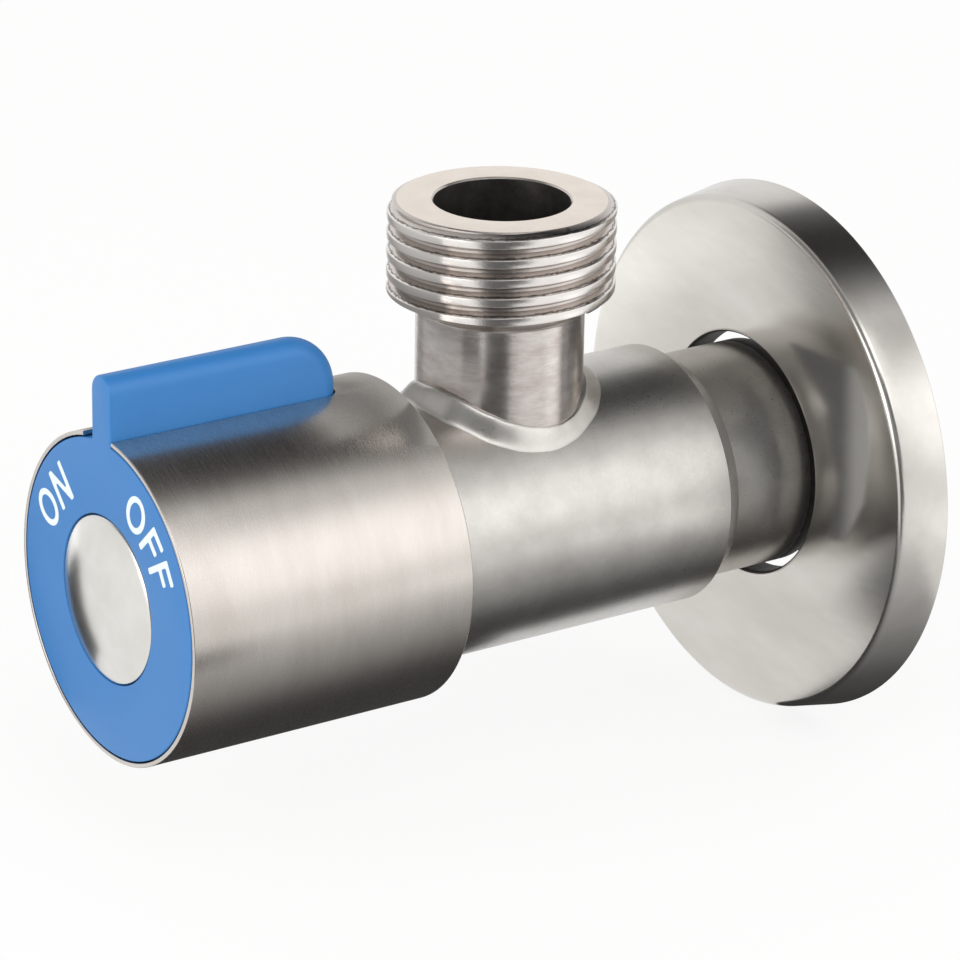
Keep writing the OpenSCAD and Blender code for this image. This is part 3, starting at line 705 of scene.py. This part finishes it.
def thread_steel():
    """Cut thread: a painted highlight brightens the crests, a band of painted shade darkens the flanks, and a
    faint warm tint.
    """
    material, output = start_material("cut_thread_painted_light")
    place = add(material, "ShaderNodeTexCoord")
    across = add(material, "ShaderNodeVectorMath", {"operation": "MULTIPLY_ADD", 1: (1, 1, 0),
                                                    2: (0, OUTLET_POS * MM, 0)},
                 {0: place.outputs["Object"]})
    radius = add(material, "ShaderNodeVectorMath", {"operation": "LENGTH"}, {0: across.outputs["Vector"]})
    lines_place = add(material, "ShaderNodeMapping", {"Scale": (0.5, 0.5, 2)},
                      {"Vector": place.outputs["Object"]})
    lines = add(material, "ShaderNodeTexNoise", {"Scale": per(0.3), "Detail": 5, "Roughness": 0.75},
                {"Vector": lines_place.outputs["Vector"]})
    height = add(material, "ShaderNodeMapRange", {"From Min": ROOT_R * MM, "From Max": THREAD_R * MM},
                 {"Value": radius.outputs["Value"]})
    # This noise breaks the edges of the painted shade and the painted highlight.
    shade_noise = add(material, "ShaderNodeMath", {"operation": "MULTIPLY_ADD", 1: 0.9, 2: -0.45},
               {0: lines.outputs["Fac"]})
    mixed = add(material, "ShaderNodeMath", {"operation": "ADD"},
                {0: height.outputs["Result"], 1: shade_noise.outputs["Value"]})
    tint = add(material, "ShaderNodeValToRGB", links={"Fac": mixed.outputs["Value"]})
    for step, shade in THREAD_HIGHLIGHT_AND_SHADE:
        tint.color_ramp.elements.new(step).color = colour(shade)
    for end in (tint.color_ramp.elements[-1], tint.color_ramp.elements[0]):
        tint.color_ramp.elements.remove(end)
    relief = add(material, "ShaderNodeBump", {"Strength": 1.0, "Distance": 0.008 * MM},
                 {"Height": lines.outputs["Fac"]})
    surface = add(material, "ShaderNodeBsdfPrincipled", {"Metallic": 1.0, "Roughness": 0.22},
                  {"Base Color": tint.outputs["Color"], "Normal": relief.outputs["Normal"]})
    material.node_tree.links.new(surface.outputs["BSDF"], output.inputs["Surface"])
    return material


cut_thread = thread_steel()
print("outlet's thread wears", cut_thread.name)

# %% [markdown]
# ## The other steel parts
# Each part has its own tool marks: turned rings on the neck, a smooth facing cut on the sealing face,
# diagonal grinding on the plate, a brush run around the sleeve and a spun satin on the cap.

# %% The other steel parts
# Deep bores and the gap behind the plate see no light, so they read as a dull dark grey.
dark_steel = steel("shaded_bore_steel", "#5c5854", "#454240", (0.5, 0.6), 2, 0.3)
# Turning leaves fine rings around the neck, which smear its reflections sideways.
neck_steel = steel("turned_neck_stainless", "#dcd7d3", "#c3b9b4", (0.2, 0.27), 1.8, 0.12, (0.03, 0.03, 1),
                   grain_depth=0.01, cloud_stretch=(0.6, 0.6, 1.6))
# A facing cut is the smoothest, and its bright warm tone is even all round.
faced_steel = steel("faced_stainless", "#f3e8dd", "#ebe0d4", (0.22, 0.28), 3, 0.15, grain_depth=0.0005)
# Sheet ground on a belt has long faint diagonal strokes and a clear, slightly blurred mirror image.
plate_steel = steel("diagonally_ground_stainless_sheet", "#dad7d2", "#cdc9c3", (0.2, 0.26), 6, 0.1,
                    (0.04, 1, 1), (0, math.radians(45), 0), 0.0006, (0.35, 1, 1))
# The brush ran around the sleeve, so bands of light run along it with fine lines across them.
sleeve_steel = steel("sleeve_brushed_around", "#d6d0ca", "#ccc5be", (0.25, 0.29), 3, 0.08,
                     (0.03, 1, 0.03), (0, 0, 0), 0.0004, (0.3, 1, 0.3))
# Spun and rubbed sheet: a pale satin, a little smoother than the sleeve.
cap_steel = steel("spun_satin_cap", "#e4e2de", "#dcdad5", (0.2, 0.26), 3, 0.2, grain_depth=0.0008)
# Plain bright fasteners, hidden inside.
fastener_steel = steel("plain_steel_fastener", "#b9b7b3", "#a6a4a1", (0.3, 0.4), 2, 0.2)
print("steel finishes:", [m.name for m in (dark_steel, neck_steel, faced_steel, plate_steel, sleeve_steel,
                                           cap_steel, fastener_steel)])

# %% Steel on the parts
def off_axis(spot):
    """Distance of a spot from the valve's axis."""
    return math.hypot(spot.x, spot.z)


dress_part(body, dark_steel, lambda spot: -4.5 < spot.y < -0.5 or off_axis(spot) < 8)
dress(outlet, neck_steel)
dress_part(outlet, cut_thread, lambda spot: spot.z > 21)
dress_part(outlet, faced_steel, lambda spot: spot.z > OUTLET_TOP - 0.01)
dress_part(outlet, dark_steel,
           lambda spot: math.hypot(spot.x, spot.y + OUTLET_POS) < 6.3 and spot.z < OUTLET_TOP - 0.1)
dress(plate, plate_steel)
dress_part(plate, dark_steel, lambda spot: off_axis(spot) < 12.5 and spot.y > -4.75)
dress(sleeve, sleeve_steel)
dress(cap, cap_steel)
for name in ("handle_screw", "stop_washer", "spindle_circlip"):
    dress(nodes[name], fastener_steel)
print("steel on", [piece.name for piece in (body, outlet, plate, sleeve, cap)])

# %% [markdown]
# ## Plastics, ceramic, brass and rubber
# ABS from a textured mould has a satin skin with a very fine grain. Turned brass shows faint rings, lapped
# ceramic is almost smooth, and rubber is dull.

# %% Plastics, ceramic, brass and rubber
def moulded(name, light, dark, roughness, grain_mm, grain_depth, metallic=0.0, ior=1.5):
    """A material with a faint change of tint and a fine skin."""
    material, output = start_material(name)
    place = add(material, "ShaderNodeTexCoord")
    clouds = add(material, "ShaderNodeTexNoise", {"Scale": per(5), "Detail": 4},
                 {"Vector": place.outputs["Object"]})
    tint = add(material, "ShaderNodeMix", {"data_type": "RGBA", 6: colour(dark), 7: colour(light)},
               {0: clouds.outputs["Fac"]})
    skin = add(material, "ShaderNodeTexNoise", {"Scale": per(grain_mm), "Detail": 2},
               {"Vector": place.outputs["Object"]})
    relief = add(material, "ShaderNodeBump", {"Strength": 1.0, "Distance": grain_depth * MM},
                 {"Height": skin.outputs["Fac"]})
    gloss = add(material, "ShaderNodeMapRange", {"To Min": roughness - 0.05, "To Max": roughness + 0.05},
                {"Value": skin.outputs["Fac"]})
    surface = add(material, "ShaderNodeBsdfPrincipled", {"Metallic": metallic},
                  {"Base Color": tint.outputs[2], "Roughness": gloss.outputs["Result"],
                   "Normal": relief.outputs["Normal"]})
    if not metallic:
        surface.inputs["IOR"].default_value = ior
    material.node_tree.links.new(surface.outputs["BSDF"], output.inputs["Surface"])
    return material


print("one function makes all the finishes that aren't steel")

# %% Finishes of the plastics, ceramic, brass and rubber
# Glossy enough to show soft lights, with the fine grain of an etched mould.
blue_abs = moulded("blue_satin_abs", "#337dc1", "#2f77ba", 0.36, 0.15, 0.0015)
dress(dial, blue_abs)
# Ink is duller than the plastic under it.
pad_ink = moulded("white_pad_printing_ink", "#eef6f6", "#e6f1f2", 0.5, 0.1, 0.001)
dress(word_on, pad_ink)
dress(word_off, pad_ink)
# Dull nylon, turned brass with faint rings, dull acetal, ceramic lapped almost to a mirror, dull rubber.
finishes = {
    "handle_hub": moulded("dark_moulded_nylon", "#4b4845", "#413e3b", 0.5, 0.3, 0.004),
    "cartridge_housing": moulded("turned_brass", "#d3ab5a", "#c49a4c", 0.26, 0.3, 0.002, metallic=1.0),
    "glide_washer": moulded("white_acetal", "#ecebe6", "#e4e2dc", 0.4, 0.2, 0.001),
    "moving_disc": moulded("lapped_alumina", "#f1ece0", "#eae4d6", 0.18, 0.1, 0.0005, ior=1.76),
    "seat_gasket": moulded("black_sealing_rubber", "#262626", "#1c1c1d", 0.62, 0.2, 0.003)}
finishes["spindle"] = finishes["cartridge_housing"]
finishes["gasket_support_ring"] = finishes["glide_washer"]
finishes["fixed_disc"] = finishes["moving_disc"]
for name in ("upper_stem_o_ring", "lower_stem_o_ring", "housing_o_ring"):
    finishes[name] = finishes["seat_gasket"]
for name, material in finishes.items():
    dress(nodes[name], material)
print(len(finishes), "CAD nodes dressed")

# %% [markdown]
# ## Floor and light
# The valve stands over a white paper sweep, as in a studio. The paper glows a little for the camera and in
# reflections, so that it reads as white, and it still takes the valve's soft shadow.

# %% Floor
bpy.ops.object.select_all(action="DESELECT")
FLOOR_GAP = 0.05
FLOOR_GLOW = 0.83
floor_height = cad_low.z - FLOOR_GAP * MM
bpy.ops.mesh.primitive_plane_add(size=6, location=(0, 0, floor_height))
floor = bpy.context.object
floor.name = "floor"
sweep, output = start_material("white_paper_sweep")
ray = add(sweep, "ShaderNodeLightPath")
seen = add(sweep, "ShaderNodeMath", {"operation": "ADD", "use_clamp": True},
           {0: ray.outputs["Is Camera Ray"], 1: ray.outputs["Is Glossy Ray"]})
share = add(sweep, "ShaderNodeMath", {"operation": "MULTIPLY", 1: FLOOR_GLOW}, {0: seen.outputs["Value"]})
paper = add(sweep, "ShaderNodeBsdfDiffuse", {"Color": colour("#f0f0ee")})
white = add(sweep, "ShaderNodeEmission", {"Color": (1, 1, 1, 1), "Strength": 1.03})
mixed = add(sweep, "ShaderNodeMixShader", links={0: share.outputs["Value"], 1: paper.outputs["BSDF"],
                                                 2: white.outputs["Emission"]})
sweep.node_tree.links.new(mixed.outputs["Shader"], output.inputs["Surface"])
dress(floor, sweep)
print("floor at", round(floor_height / MM, 2), "mm")

# %% [markdown]
# ## Cards
# Steel shows what stands around it. Photographers put dark and white cards around a shiny thing, and their
# reflections are the bands that make it look round. A card is drawn as a flat outline, and its brightness
# fades along one axis. It is seen only in reflections: the camera, shadows and matt surfaces pass it by.

# %% Cards
def card(name, spots, shades, axis="X"):
    """A flat card through the spots, in mm. Its shades run along one axis: pairs of mm and brightness."""
    piece = draw_outline(name, [Vector(spot) * MM for spot in spots])
    bpy.ops.mesh.edge_face_add()
    bpy.ops.object.mode_set(mode="OBJECT")
    for ray_kind in ("visible_camera", "visible_diffuse", "visible_transmission", "visible_shadow"):
        setattr(piece, ray_kind, False)
    material, output = start_material(name + "_paper")
    first, last = shades[0][0], shades[-1][0]
    place = add(material, "ShaderNodeTexCoord")
    split = add(material, "ShaderNodeSeparateXYZ", links={"Vector": place.outputs["Object"]})
    along = add(material, "ShaderNodeMapRange", {"From Min": first * MM, "From Max": last * MM},
                {"Value": split.outputs[axis]})
    fade = add(material, "ShaderNodeValToRGB", links={"Fac": along.outputs["Result"]})
    for at, level in shades[1:-1]:
        fade.color_ramp.elements.new((at - first) / (last - first)).color = (level, level, level, 1)
    for stop, level in ((0, shades[0][1]), (-1, shades[-1][1])):
        fade.color_ramp.elements[stop].color = (level, level, level, 1)
    glow = add(material, "ShaderNodeEmission", {"Strength": 1.0}, {"Color": fade.outputs["Color"]})
    material.node_tree.links.new(glow.outputs["Emission"], output.inputs["Surface"])
    dress(piece, material)
    return piece


def lying(height, *corners):
    """Corners (x, y) of a card that lies level."""
    return [(x, y, height) for x, y in corners]


def upright(y, *corners):
    """Corners (x, z) of a card that stands across the valve's axis."""
    return [(x, y, z) for x, z in corners]


def wall(start, end, bottom, top):
    """Corners of a card that stands from one spot (x, y) to another."""
    return [(*start, bottom), (*end, bottom), (*end, top), (*start, top)]


low_z = floor_height / MM + 0.06
floor_z = floor_height / MM + 0.1
raised_z = floor_z + 0.06
print("cards lie at", [round(z, 2) for z in (low_z, floor_z, raised_z)], "mm")

# %% [markdown]
# ## Where the cards stand
# One big card overhead and one under the valve give the sleeve and the barrel their dark upper and lower
# bands. Cards beside the camera darken the middle of the neck and the thread. Small cards close to the
# valve keep bright sky out of the weld bead and out of the plate beside the shank. White cards on the floor
# brighten the plate's face and its rim.

# %% Where the cards stand
card("card_under", lying(floor_z, (-19, -74), (40, -74), (58, -62), (95, -62), (95, 12), (7, 12), (4, -27),
                         (-17, -32)),
     [(-19, 0.05), (12, 0.05), (18, 0.09), (30, 0.32), (55, 0.62), (95, 0.97)])
card("card_overhead", lying(200, (-215, -35), (105, -35), (105, 225), (-215, 225)),
     [(-215, 0.9), (-180, 0.5), (-140, 0.12), (-60, 0.02), (-10, 0.02), (15, 0.05), (45, 0.25), (75, 0.55),
      (105, 0.88)])
card("card_camera_low", lying(raised_z, (40, -84), (56, -50), (80, -42), (79, -64), (128, -80), (145, -48),
                              (336, -60), (336, -103), (180, -298)), [(40, 0.1), (336, 0.1)])
card("card_camera", wall((180, -298), (336, -103), floor_z, 110), [(-26, 0.12), (50, 0.12), (110, 0.5)], "Z")
card("card_front_high", wall((-280, -300), (520, -300), 120, 640), [(120, 0.5), (220, 0.2), (640, 0.2)], "Z")
card("card_behind_lever", upright(-45.3, (-16, 9), (4.3, 9), (4.3, 29), (-16, 29)),
     [(9, 0.6), (14.5, 0.55), (17, 0.4), (19, 0.24), (22, 0.28), (25, 0.45), (29, 0.62)], "Z")
card("card_behind_sleeve", upright(-45.3, (4.3, 9), (10, 9), (9, 17), (4.3, 19)),
     [(9, 0.5), (13.5, 0.45), (15, 0.22), (19, 0.15)], "Z")
card("card_beside_shank", upright(-7, (4, 12), (10, 7.2), (12.3, 0), (11, -5.5), (14, -5), (16.8, 0), (17.6, 5),
                                  (17.2, 9), (15, 13)),
     [(4, 0.1), (12.8, 0.12), (15.2, 0.38), (17.6, 0.42)])
card("card_side", wall((300, -230), (372, -15), 40, 330), [(300, 0.08), (350, 0.12), (372, 0.3)])
card("card_left_close", wall((-30, -62), (-30, -36), -12, 26), [(-62, 0.35), (-36, 0.35)], "Y")
card("card_right_behind", lying(low_z, (66, 22), (150, 30), (150, 95), (66, 75)), [(66, 1.3), (150, 1.3)])
card("card_low_left", lying(floor_z, (-30, -86), (-30, -70), (-62, -66), (-80, -77), (-100, -92), (-110, -103),
                            (-96, -106)), [(-110, 0.04), (-30, 0.04)])
card("card_reflector", lying(low_z, (-170, -104), (-94, -104), (-90, -66), (-40, -50), (-30, -15),
                             (-170, -15)),
     [(-170, 1.5), (-115, 1.38), (-95, 1.08), (-70, 1.0), (-30, 0.9)])

# %% [markdown]
# ## Sky and lamps
# The room is white, with a wide window behind the valve on the right and a darker ceiling straight above.
# Two soft boxes light the plastics and cast the soft shadow.

# %% Sky
TO_WINDOW = (0.774, 0.513, 0.369)
world = bpy.data.worlds.new("studio")
bpy.context.scene.world = world
world.use_nodes = True
world.node_tree.nodes.clear()
sky_place = add(world, "ShaderNodeTexCoord")
towards_window = add(world, "ShaderNodeVectorMath", {"operation": "DOT_PRODUCT", 1: TO_WINDOW},
                     {0: sky_place.outputs["Generated"]})
sky_level = add(world, "ShaderNodeMapRange",
                {"From Min": 0.87, "From Max": 1.0, "To Min": 0.92, "To Max": 1.58,
                 "interpolation_type": "SMOOTHSTEP"}, {"Value": towards_window.outputs["Value"]})
sky_parts = add(world, "ShaderNodeSeparateXYZ", links={"Vector": sky_place.outputs["Generated"]})
towards_top = add(world, "ShaderNodeMapRange",
                  {"From Min": 0.45, "From Max": 1.0, "To Min": 1.0, "To Max": 0.5,
                   "interpolation_type": "SMOOTHSTEP"}, {"Value": sky_parts.outputs["Z"]})
sky_strength = add(world, "ShaderNodeMath", {"operation": "MULTIPLY"},
                   {0: sky_level.outputs["Result"], 1: towards_top.outputs["Result"]})
sky = add(world, "ShaderNodeBackground", {"Color": (1, 1, 1, 1)}, {"Strength": sky_strength.outputs["Value"]})
add(world, "ShaderNodeOutputWorld", links={"Surface": sky.outputs["Background"]})
print("sky has", len(world.node_tree.nodes), "nodes")

# %% Lamps
def soft_light(name, place, size, power, aim=(0, -40, 0)):
    """A square soft box at a place in mm that points at the valve."""
    data = bpy.data.lights.new(name, "AREA")
    data.size = size * MM
    data.energy = power
    lamp = bpy.data.objects.new(name, data)
    bpy.context.scene.collection.objects.link(lamp)
    lamp.location = Vector(place) * MM
    lamp.rotation_euler = (Vector(aim) * MM - lamp.location).to_track_quat("-Z", "Y").to_euler()
    return lamp


soft_light("soft_box_right", (420, -120, 420), 400, 0.8)
soft_light("soft_box_front", (60, -600, 200), 400, 1.1)
bpy.context.scene.view_settings.view_transform = "Standard"

# %% [markdown]
# ## Finish
# The view layer is brought up to date.

# %% Finish
bpy.context.view_layer.update()
